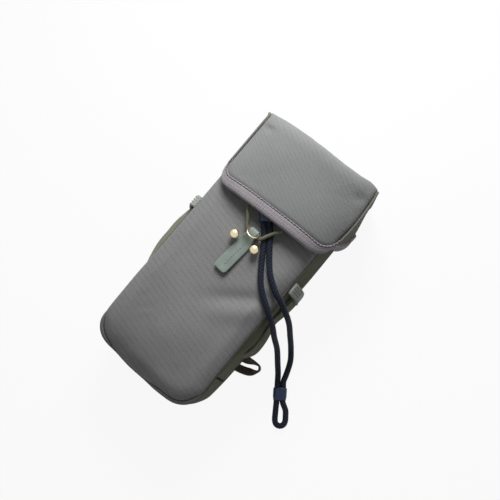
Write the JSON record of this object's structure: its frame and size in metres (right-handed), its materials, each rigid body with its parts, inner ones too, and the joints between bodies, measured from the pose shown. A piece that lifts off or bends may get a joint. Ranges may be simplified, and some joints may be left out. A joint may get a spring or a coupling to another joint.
{
  "type": "monocular pouch",
  "caption": "Padded soft pouch with a hooded lid, elastic and ball-stud closure, side webbing and a corded lanyard.",
  "frame": {"origin": "middle of the outer face of the back panel", "axes": "+X across the pouch, +Y toward the lid, +Z out of the front; the pouch lies on its back on Z = 0"},
  "size_m": [0.1751, 0.2358, 0.0812],
  "materials": {
    "body_cloth": "ribbed woven nylon",
    "side_cloth": "ribbed woven nylon",
    "lining": "brushed knit",
    "foam": "closed-cell padding",
    "piping": "turned cloth edge",
    "binding": "woven tape",
    "webbing": "flat woven webbing",
    "dark_webbing": "flat woven webbing",
    "elastic": "braided elastic cord",
    "cord": "braided cord",
    "bead_plastic": "glossy plastic",
    "stud_metal": "polished plated brass",
    "washer_metal": "plain steel"
  },
  "bodies": {
    "pouch": {"front_panel": "body_cloth", "front_foam": "foam", "back_panel": "body_cloth", "back_foam": "foam", "left_gusset": "side_cloth", "right_gusset": "side_cloth", "bottom_gusset": "side_cloth", "left_foam": "foam", "right_foam": "foam", "bottom_foam": "foam", "lining_bag": "lining", "front_piping": "piping", "back_piping": "piping", "mouth_binding": "binding", "hinge_strip": "body_cloth", "left_stud": "stud_metal", "right_stud": "stud_metal", "left_washer": "washer_metal", "right_washer": "washer_metal", "left_side_strap": "webbing", "right_side_strap": "webbing", "left_tab": "webbing", "right_tab": "webbing", "lower_loop": "dark_webbing", "upper_bead": "bead_plastic", "lanyard_anchor": "webbing", "lanyard_cord": "cord"},
    "lid": {"lid_front_panel": "body_cloth", "lid_front_foam": "foam", "lid_top_panel": "body_cloth", "lid_top_foam": "foam", "lid_lining": "lining", "lid_binding_front": "binding", "lid_left_wing": "side_cloth", "lid_binding_left": "binding", "lid_left_piping": "piping", "lid_right_wing": "side_cloth", "lid_binding_right": "binding", "lid_right_piping": "piping", "elastic_anchor_left": "elastic", "elastic_anchor_right": "elastic"},
    "loop": {"elastic_loop": "elastic"},
    "tab": {"pull_tab": "webbing"},
    "ring": {"tab_ring": "stud_metal"},
    "bead": {"lower_bead": "bead_plastic"}
  },
  "joints": [
    {"name": "lid_hinge", "type": "hinge", "parent": "pouch", "child": "lid", "pos_m": [0, 0.117, 0.0006], "axis": [-1, 0, 0], "range_deg": [0, 90]},
    {"name": "loop_swing", "type": "hinge", "parent": "lid", "child": "loop", "pos_m": [0.0022, 0.0448, 0.07398], "axis": [-0.9997, -0.0227, 0], "range_deg": [0, 40], "deforming": ["elastic_loop"]},
    {"name": "tab_swing", "type": "hinge", "parent": "loop", "child": "tab", "pos_m": [0.0024, 0.028, 0.07208], "axis": [-0.9959, 0.0906, 0], "range_deg": [0, 110]},
    {"name": "ring_flip", "type": "hinge", "parent": "tab", "child": "ring", "pos_m": [0.00258, 0.02999, 0.07328], "axis": [-0.9959, 0.0906, 0], "range_deg": [0, 110]},
    {"name": "bead_slide", "type": "slide", "parent": "pouch", "child": "bead", "axis": [-0.5931, 0.8051, 0], "range_m": [0, 0.004]}
  ]
}
